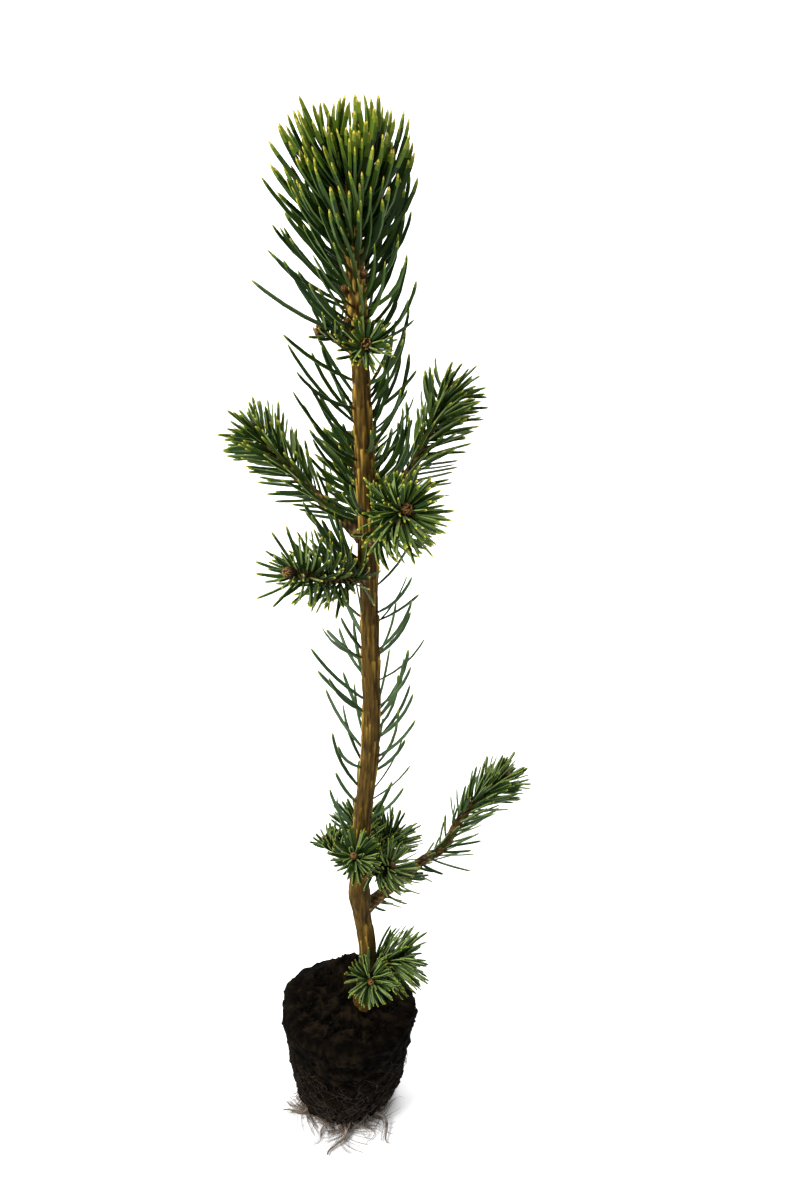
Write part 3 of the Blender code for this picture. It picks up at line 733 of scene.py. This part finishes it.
def needle_data(name, needles, pale, painted_shade, ends):
    """One mesh of all the needles: each a root, first and last way, length, width, roll and green."""
    count = len(needles)
    roots, firsts, lasts = (np.array([needle[part] for needle in needles]) for part in range(3))
    lengths, widths, rolls = (np.array([needle[part] for needle in needles]) for part in range(3, 6))
    greens = np.array([needle[6] for needle in needles])
    share = STATIONS[None, :, None]
    bend = firsts[:, None, :] * (share - share**2 / 2) + lasts[:, None, :] * share**2 / 2
    middles = roots[:, None, :] + bend * lengths[:, None, None]
    ways = firsts[:, None, :] * (1 - share) + lasts[:, None, :] * share
    ways /= np.linalg.norm(ways, axis=2, keepdims=True)
    flat = np.cross(ways, np.array([0.02, 0.03, 1.0]))
    flat /= np.linalg.norm(flat, axis=2, keepdims=True)
    thick = np.cross(flat, ways)
    turns = rolls[:, None] + CORNERS
    half = widths[:, None] / 2 * WIDTHS[None, :]
    across = np.cos(turns)[:, None, :, None] * flat[:, :, None, :]
    through = THICKNESS * np.sin(turns)[:, None, :, None] * thick[:, :, None, :]
    verts = middles[:, :, None, :] + (across + through) * half[:, :, None, None]
    stations = len(STATIONS)
    per_needle = stations * NEEDLE_SIDES
    corner = np.arange(NEEDLE_SIDES)
    following = (corner + 1) % NEEDLE_SIDES
    rows = np.arange(stations - 1)[:, None] * NEEDLE_SIDES
    above = rows + NEEDLE_SIDES
    quads = np.stack([rows + corner, rows + following, above + following, above + corner], -1).reshape(-1, 4)
    caps = np.stack([corner[::-1], corner + per_needle - NEEDLE_SIDES])
    one_needle = np.concatenate([quads, caps])
    faces = (one_needle[None] + np.arange(count)[:, None, None] * per_needle).reshape(-1, 4)
    data = bpy.data.meshes.new(name)
    data.from_pydata(verts.reshape(-1, 3).tolist(), [], faces.tolist())
    middle_share = (STATIONS[:-1] + STATIONS[1:]) / 2
    kinds = np.full((stations - 1, NEEDLE_SIDES), -1)
    kinds[:, 0::2] = pale
    # Painted shade: the first third of each needle, near the twig or stem, takes a darker green.
    kinds[middle_share < 0.35] = painted_shade
    for start, kind in ends:
        kinds[middle_share > start] = kind
    kinds[0] = PEG_KIND
    kinds = np.append(kinds.reshape(-1), [PEG_KIND, ends[-1][1]])
    all_kinds = np.where(kinds[None, :] < 0, greens[:, None], kinds[None, :])
    data.polygons.foreach_set("material_index", all_kinds.reshape(-1).astype(np.int32))
    data.update()
    return data


def grown_needle(root, first, last, length, width, greens):
    """One needle with its own small differences."""
    thick = width * rng.uniform(0.88, 1.1) * MM
    return (root, first, last, length * MM, thick, rng.uniform(0, math.pi / 2), rng.choice(greens))


print("needle helper ready,", (len(STATIONS) - 1) * NEEDLE_SIDES + 2, "faces to a needle")

# %% [markdown]
# The long needles round the stem leave it at about fifty degrees and curve up. Those on the leader lie a
# little to the left. Towards the top they stand closer and spread in a crown round the end bud.

# %% Needles round the stem


def outline_needle(height, x, tip_height, width, greens):
    """A needle to a given tip, more level at its foot and more upright at its end than the straight way."""
    side = level_way(outline_turn(height, x))
    foot = stem_points(height) + side * stem_radii(height)
    tip = np.array([x * MM, rng.uniform(-1, 1) * MM, SOIL + tip_height * MM])
    way = unit(tip - foot)
    outward = unit(side - way * np.dot(side, way))
    curve = 0.2 if x < 6.5 else 0.55 if 160 < height < 195 else 0.32
    length = np.linalg.norm(tip - foot) * math.sqrt(1 + curve**2) / MM
    first = unit(way + outward * curve)
    last = unit(way - outward * curve)
    return grown_needle(foot - first * 0.4 * MM, first, last, length + 0.8, width, greens)


crown = []
last_high = 0
for name, _, high, _, _, width, _, _, tilt, _, greens, ends in STRETCHES:
    tilted = np.array([tilt, 0, 0])
    needles = []
    for owner, height, turn, lean, length in stem_roots:
        if owner != name:
            continue
        side = level_way(turn)
        curved = lean - min(math.radians(38), lean * 0.66)
        first = unit(side * math.sin(lean + 0.1) + UP * math.cos(lean + 0.1) + tilted * 0.5)
        swing = np.cross(UP, side) * rng.uniform(-0.22, 0.22)
        last = unit(side * math.sin(curved) + UP * math.cos(curved) + swing + tilted * 1.5)
        root = stem_points(height) + side * stem_radii(height) - first * 0.4 * MM
        grown = grown_needle(root, first, last, length, width, greens)
        (crown if height > CROWN_HEIGHT else needles).append(grown)
    for height, x, tip_height in OUTLINE_NEEDLES:
        if last_high < height <= high:
            grown = outline_needle(height, x, tip_height, width * 1.1, greens)
            (crown if height > CROWN_HEIGHT else needles).append(grown)
    last_high = max(last_high, high)
    # The stretch's first green is painted on each needle's first third as painted shade.
    data = needle_data(name, needles, STEM_PALE, greens[0], ends)
    add_piece(name + "_dressed", data, NEEDLE_FINISHES, [name])
    print(name, len(needles), "needles")
# Kind 1, the dark green, is painted on each crown needle's first third as painted shade.
crown_data = needle_data("crown_needles", crown, STEM_PALE, 1, CROWN_ENDS)
add_piece("crown_needles", crown_data, NEEDLE_FINISHES, [])

# %% [markdown]
# The side sprays carry shorter needles all round the twig, spread wide, so a branch seen end on is a
# star round its bud. They turn up a little to the light, and the last few are short and stand close
# round the bud. On the old low branches the yellow ends are short.

# %% Needles on the branches
SPRAY_NEEDLE_WIDTH = 0.96
ROUND_BUD = 0.1
ROUND_HEADS = ("upper_left_back", "upper_right_back", "lower_right")
# What is said of a branch here sets it apart from the rest. How evenly its needles follow one another:
# 1 is evenly, and less leaves more of them for the head
SPREADS = {
    "upper_left_front": 1,
    "upper_left_back": 0.36,
    "upper_back": 1.2,
    "upper_right_back": 0.37,
    "lower_right": 0.4,
}
# The needles' lean from the twig, where they start and at the bud
LEANS = {
    "upper_front": (66, 74),
    "upper_left_back": (46, 68),
    "upper_right_back": (46, 66),
    "lower_right": (46, 66),
    "leader_front": (60, 74),
}
# The side on which the needles are fewer and shorter
THIN_SIDES = {
    "upper_left_back": (0, 0, -1),
    "upper_right_back": (-1, 0, 0),
    "lower_right": (-0.7, 0, 0.7),
    "upper_left_front": (0, 0, -0.34),
    "lower_front": (-1, 0, -0.3),
    "lower_left": (0, 0, -1),
}
# Which way all the needles of a branch are drawn: up to the light, if nothing else is said
DRAWN = {
    "upper_front": (0.3, 0, -0.12),
    "upper_left_back": (-0.04, 0, -0.04),
    "upper_right_back": (0.18, 0, -0.1),
    "lower_right": (0.12, 0, 0.08),
    "lower_left": (0.1, 0, 0.4),
    "basal_right": (0.1, 0, -0.2),
}
# Two sprays end in a star that faces the view. How far right of its bud, and how far above it, the tip
# of each of the star's needles is seen, in millimetres
STARS = {
    "upper_front": (
        (-5.4, 1.1), (-4.3, 0.7), (-3.4, 0), (-2, 1.8), (-6.6, -1.8), (-8.6, 1.1), (-9.5, 3.2),
        (-9.7, 5.4), (-10.4, 7.5), (-10.7, -1.1), (-9.1, -2.5), (-12, -4.8), (-8.4, -6.1),
        (-6.6, -7.5), (-9.5, -10.7), (-3.9, -3.2), (-2.5, -6.3), (-3.4, -10), (-2.5, -12), (0.7, -8.6),
        (2.7, -11.3), (1.6, -12.9), (5.9, -11.1), (6.6, -8.4), (3.9, -6.6), (8.8, -5.7), (7.7, -5.9),
        (3.4, -4.5), (1.8, -4.5), (9.1, -4.1), (7.3, -3.2), (3.9, -0.5), (5, 1.4), (6.1, 1.4),
        (8.4, 0.7), (8.4, 2.9), (7.5, 4.1), (5, 4.5), (6.1, 5.9), (5.2, 6.3), (2.5, 4.8), (2, 6.1),
        (0.7, 5.9), (2.7, 9.7), (1.6, 8.6), (-0.2, 7.5), (-1.1, 6.3), (-0.9, 5), (-3.2, 8.2),
        (-5, 7.3), (-4.3, 5.4), (-7.3, 8.2), (-0.7, -2.9), (0.2, -2.5), (-1.6, -1.6), (-10.2, -7.9),
        (10.7, -0.5), (10, -2.7),
    ),
    "leader_front": (
        (-2.2, 6.1), (-1.6, 4.5), (0.9, 5.2), (5.6, 4.9), (4, 3.1), (7.2, 0.9), (3.8, 0.2),
        (5.2, -0.7), (2.2, -1.8), (6.5, -3.1), (3.4, -2.7), (3.8, -5.6), (-1.6, -3.4), (-2.9, -4.3),
        (-3.1, -5.2), (-2.9, 0), (-3.1, 2.2), (1.8, -7.2), (0, -6.1),
    ),
}
SEEN_UP = np.array([0, math.cos(VIEW_PITCH), math.sin(VIEW_PITCH)])
TOWARDS_VIEW = np.array([0, -math.sin(VIEW_PITCH), math.cos(VIEW_PITCH)])
# Share of the bare bough at which the first needles stand, where they come further down it than most
FOOT_NEEDLES = {
    "upper_left_front": 0.4,
    "upper_left_back": 0.15,
    "upper_back": 0.3,
    "upper_right_back": 0.3,
    "basal_right": 0.3,
    "lower_right": 0.5,
}
# More needles near the bough's foot, apart from the rest: how many, from and to which share of the
# length, which way round they point, and how much longer they are
FIRST_NEEDLES = {
    "upper_right_back": (14, 0.06, 0.3, math.pi / 2, 1.4),
    "lower_right": (26, 0.06, 0.4, -math.pi / 2, 0.6),
}


def star_needles(branch):
    """The needles of a star: those seen short point out of it, towards the view."""
    name, bud, needle = branch[0], branch[7], branch[9]
    middle = branch_points(branch, [1])[0] - TOWARDS_VIEW * 0.8 * bud * MM
    needles = []
    for right, up in STARS[name]:
        wide = math.hypot(right, up) / needle
        root = branch_points(branch, [0.9 - 0.08 * min(wide, 1)])[0]
        seen = np.array([right * MM, 0, 0]) + SEEN_UP * up * MM
        tip = middle + seen + TOWARDS_VIEW * needle * MM * (math.sqrt(max(1 - wide**2, 0.05)) - 0.45)
        way = unit(tip - root)
        twig = unit(branch_points(branch, [1])[0] - branch_points(branch, [0.9])[0])
        out = unit(seen - twig * np.dot(seen, twig))
        bow = unit(out - way * np.dot(out, way)) * 0.12
        length = np.linalg.norm(tip - root) / MM - 0.5
        root = root + out * 0.5 * MM
        needles.append(grown_needle(root, unit(way + bow), unit(way - bow), length, 1.0, SPRAY_GREENS))
    return needles


def spray_needles(branch):
    name, height, bearing, rise, length, bare, radius, bud, count, needle, line = branch
    end = 0.84 if name in STARS else 1 - 1.9 * bud / length
    first_share = bare * FOOT_NEEDLES.get(name, 0.84)
    spread = SPREADS.get(name, 0.78)
    shares = first_share + (end - first_share) * np.linspace(0, 1, count) ** spread
    firsts, low, high, first_turn, longer = FIRST_NEEDLES.get(name, (0, 0, 0, 0, 1))
    parts = [shares, np.linspace(low, high, firsts)] if firsts else [shares]
    shares = np.concatenate(parts)
    points = branch_points(branch, shares)
    frames = [frames_along(branch_points(branch, part), (0, 0, 1)) for part in parts]
    ways, sides, others = (np.concatenate(vectors) for vectors in zip(*frames))
    leans = LEANS.get(name, (68, 54))
    thin_side = THIN_SIDES.get(name, (0, 0, 0))
    drawn = np.array(DRAWN.get(name, (0, 0, 0.1)))
    round_bud = (0.65, 0.95) if bearing > 0 else (0.4, 0.75)
    needles = []
    for index in range(count + firsts):
        along = index / count if index < count else 0
        turn = GOLDEN_ANGLE * index + rng.uniform(-0.3, 0.3)
        lean = leans[0] + (leans[1] - leans[0]) * along**2 + rng.uniform(-10, 10)
        size = needle * (1 - 0.14 * along) * rng.uniform(0.82, 1.1)
        if index >= count:
            turn = first_turn + rng.uniform(-0.6, 0.6)
            lean = rng.uniform(70, 90)
            size *= longer
        thin = np.dot(sides[index] * math.cos(turn) + others[index] * math.sin(turn), thin_side) > 0.25
        thin = thin and shares[index] < 0.72
        if thin and rng.random() < 0.35:
            continue
        size *= 0.74 if thin else 1
        size *= 0.95 if name in STARS else 1
        if name in ROUND_HEADS and along > 0.74:
            lean -= rng.uniform(0, 46)
            size *= 0.86
        elif along > 1 - ROUND_BUD and name not in STARS:
            lean -= rng.uniform(2, 20)
            size *= rng.uniform(*round_bud)
        lean = math.radians(lean)
        out = sides[index] * math.cos(turn) + others[index] * math.sin(turn)
        if shares[index] < bare * 0.84 and out[2] > -0.2 and name == "lower_right":
            size *= 0.6
        first = unit(ways[index] * math.cos(lean) + out * math.sin(lean) + drawn)
        last = unit(first + ways[index] * rng.uniform(0.1, 0.35) + drawn * rng.uniform(0.5, 2.5))
        if name == "leader_left" and first[2] < 0.2:
            continue
        root = points[index] + out * radius * 0.5 * MM
        # The needles behind a star take the darker greens as painted shade between the star's needles.
        greens = BACK_GREENS if name in STARS else LOW_GREENS if height < 60 else SPRAY_GREENS
        needles.append(grown_needle(root, first, last, size, SPRAY_NEEDLE_WIDTH, greens))
    return needles


for branch in BRANCHES:
    name = branch[0] + "_spray"
    needles = spray_needles(branch) + (star_needles(branch) if branch[0] in STARS else [])
    ends = SHORT_ENDS if name.startswith(("lower", "basal")) else LONG_ENDS
    data = needle_data(name, needles, SPRAY_PALE, PAINTED_SHADE_KIND, ends)
    add_piece(name + "_dressed", data, NEEDLE_FINISHES, [name])
print("sprays made")

# %% [markdown]
# The root ball is a plug of dark peat held together by fine roots. It starts as a cone primitive cut
# into rings, takes the plug's outline, and is pushed in and out in crumbs. Its underside stays flat.

# %% Root ball
BALL_RINGS = 70
BALL_TOP = BALL_HIGH[2] / MM
BALL_SIDE = ((0, 12.4), (4.5, 14.2), (10, 15.6), (19, 17.3), (27, 18.5), (35, 19.4), (43, 19.8))
FOOT_ROUND = 1.2


def lumps(bearing, height):
    """The lumps of the model, in millimetres."""
    slow = np.sin(3 * bearing + 0.9) + np.sin(2 * bearing - height / 11)
    return 0.42 * (slow + 0.6 * np.sin(7 * bearing + height / 5))


def rim_round(bearing):
    """How far the top edge is rounded off: most at the back left."""
    return 2.6 + 1.2 * max(0, math.cos(bearing - math.radians(160))) ** 2


def crumble(place):
    """Crumbs of several sizes at a place in millimetres, from about -1 to 1."""
    return noise.fractal(Vector(place) / 3, 0.55, 2.2, 5)


def mound(x, y, out):
    """The peat is heaped round the stem's foot and behind it, and falls off to the rim at out 1."""
    near = 3.2 * math.exp(-((x - 4.5) ** 2 + (y - 2) ** 2) / 40)
    behind = 7.2 * math.exp(-((x - 3) ** 2 + (y - 14.5) ** 2) / 60)
    left = 2.8 * math.exp(-((x + 8) ** 2 + (y - 12) ** 2) / 60)
    return (near + behind + left) * math.sin(math.pi / 2 * min(1, 4.5 * (1 - out)))


ball = bmesh.new()
bmesh.ops.create_cone(ball, cap_ends=True, segments=180, radius1=1, radius2=1, depth=1)
upright = [edge for edge in ball.edges if abs(edge.verts[0].co.z - edge.verts[1].co.z) > 0.5]
bmesh.ops.subdivide_edges(ball, edges=upright, cuts=BALL_RINGS - 1)
top_face = max(ball.faces, key=lambda face: face.calc_center_median().z)
for step in range(22):
    bmesh.ops.inset_region(ball, faces=[top_face], thickness=0.043)
bmesh.ops.poke(ball, faces=[top_face])
ridge = ball.verts.layers.float.new("ridge")
for vert in ball.verts:
    bearing = math.atan2(vert.co.y, vert.co.x)
    out = math.hypot(vert.co.x, vert.co.y)
    height = (vert.co.z + 0.5) * BALL_TOP
    rounding = rim_round(bearing)
    rim = min(max(0, (height - BALL_TOP + rounding) / rounding), 1)
    foot = max(0, 1 - height / FOOT_ROUND)
    side = float(curve_through(BALL_SIDE, height))
    side -= rounding * (1 - math.sqrt(1 - rim**2)) + 0.8 * foot**2
    x, y = math.cos(bearing) * out * side, math.sin(bearing) * out * side
    raised = crumble((x, y, height))
    x += 1.1 * max(0, math.cos(bearing)) * (1 - foot) * out
    x -= 1.5 * max(0, -math.cos(bearing)) * min(max(0, (30 - height) / 20), 1) * out
    y += 0.6 * max(0, -math.sin(bearing)) * max(0, 1 - height / 16) * out
    grown = 1 + (float(lumps(bearing, height)) + 0.8 * raised) * (1 - foot) * out**4 / side
    if out < 0.99 and height > BALL_TOP / 2:
        height += (1.1 * raised - 0.8) * min(1, (0.99 - out) * 6) + mound(x, y, out)
    vert.co = Vector((x * grown, y * grown, height)) * MM
    # The peat's hollows get a low ridge value and a darker colour: painted shade in the hollows.
    vert[ridge] = min(max(0.45 + 0.9 * raised, 0), 1)
bmesh.ops.recalc_face_normals(ball, faces=ball.faces[:])
add_piece("root_ball_peat", to_data("root_ball_peat", [ball]), [PEAT], ["root_ball"])
print("root ball made,", len(bpy.data.meshes["root_ball_peat"].polygons), "faces")

# %% [markdown]
# Loose crumbs of peat lie on the ball's top and cling to its sides. Each is a low ball primitive,
# squashed and turned at random and half sunk, and has few faces because there are hundreds.

# %% Crumbs
CRUMBS = 520


def crumb_mesh():
    bearing = rng.uniform(-math.pi, math.pi)
    size = rng.uniform(0.35, 1.0) * rng.uniform(0.6, 1)
    if rng.random() < 0.5:
        out = math.sqrt(rng.random())
        across = (20 - rim_round(bearing)) * out
        x, y = across * math.cos(bearing), across * math.sin(bearing)
        place = (x, y, BALL_TOP - 0.7 + mound(x, y, out))
    else:
        height = rng.uniform(2, BALL_TOP - 3)
        across = float(curve_through(BALL_SIDE, height) + lumps(bearing, height)) - 0.15
        place = (across * math.cos(bearing), across * math.sin(bearing), height)
    squash = Matrix.Diagonal((size, size * rng.uniform(0.6, 1), size * rng.uniform(0.4, 0.8), 1))
    turn = Matrix.Rotation(rng.uniform(0, math.pi), 4, Vector((rng.random(), rng.random(), 1)))
    crumb = bmesh.new()
    matrix = Matrix.Scale(MM, 4) @ Matrix.Translation(place) @ turn @ squash
    bmesh.ops.create_icosphere(crumb, subdivisions=1, radius=1, matrix=matrix)
    ridge = crumb.verts.layers.float.new("ridge")
    tone = rng.uniform(0.2, 0.8)
    for vert in crumb.verts:
        vert[ridge] = tone
    return crumb


crumbs = [crumb_mesh() for index in range(CRUMBS)]
add_piece("peat_crumbs", to_data("peat_crumbs", crumbs), [PEAT], [])
print(CRUMBS, "crumbs made")

# %% [markdown]
# Fine roots. Tufts of them lie out on the ground at the foot of the plug, and many more run down its
# sides and stand off it as a thin fuzz, where they hold the peat together. Each is a thin limb along a
# wandering line.

# %% Roots
# name, bearing, length and number of strands
WISPS = (("root_wisp_left", 206, 9, 150), ("root_wisp_front", -97, 12, 100), ("root_wisp_right", -50, 11, 40))


def lying_root(bearing, reach, spread, thick, lift):
    def path(shares):
        turn = bearing + spread * shares + 0.12 * np.sin(shares * 5 + spread * 9)
        out = 12.6 + reach * shares
        wave = 0.25 * shares * np.sin(shares * 7 + spread * 20) ** 2
        height = thick + 0.1 + lift * (1 - shares) ** 2 + wave
        return np.stack([np.cos(turn) * out, np.sin(turn) * out, height], axis=-1) * MM

    return limb_mesh(path, lambda shares: thick * (1 - 0.7 * shares) * MM, (0, 0, 1), 5, 14)


def side_root(bearing, low, high, drift, thick, stand):
    def path(shares):
        height = low + (high - low) * shares
        turn = bearing + drift * shares + 0.06 * np.sin(shares * 9 + bearing * 5)
        out = curve_through(BALL_SIDE, height) + lumps(turn, height) + stand * np.sin(shares * math.pi)
        return np.stack([np.cos(turn) * out, np.sin(turn) * out, height], axis=-1) * MM

    return limb_mesh(path, lambda shares: thick * (1 - 0.5 * shares) * MM, (0.3, 0.2, 0.1), 4, 9)


lying = []
for name, bearing, length, strands in WISPS:
    lying.append(lying_root(math.radians(bearing), length, 0, 0.6, 3))
    for strand in range(strands):
        spread = rng.gauss(0, 0.3)
        reach = length * rng.uniform(0.3, 1) ** 1.6 * math.exp(-2 * spread * spread)
        thick = rng.uniform(0.05, 0.13) if strand % 5 else rng.uniform(0.14, 0.24)
        start = math.radians(bearing) + spread / 2
        lying.append(lying_root(start, reach, spread, thick, rng.uniform(0.5, 5)))
add_piece("root_tufts", to_data("root_tufts", lying), [ROOT], [wisp[0] for wisp in WISPS])

climbing = []
for strand in range(620):
    stands_off = strand % 2 == 0
    low = rng.uniform(0.6, 26) * rng.uniform(0.4, 1)
    high = min(low + rng.uniform(3, 14), 37)
    stand = rng.uniform(0.4, 2) if stands_off else rng.uniform(-0.1, 0.25)
    thick = rng.uniform(0.05, 0.09) if stands_off else rng.uniform(0.06, 0.16)
    drift = rng.uniform(-0.45, 0.45)
    climbing.append(side_root(rng.uniform(-math.pi, math.pi), low, high, drift, thick, stand))
add_piece("side_roots", to_data("side_roots", climbing), [SIDE_ROOT], [])
print(len(lying) + len(climbing), "roots made")

# %% Sizes and finish
dressed_box = [list(map(float, corner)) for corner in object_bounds()]
for name, box in (("model", cad_box), ("dressed", dressed_box)):
    print(name, [[round(value / MM, 1) for value in corner] for corner in box])
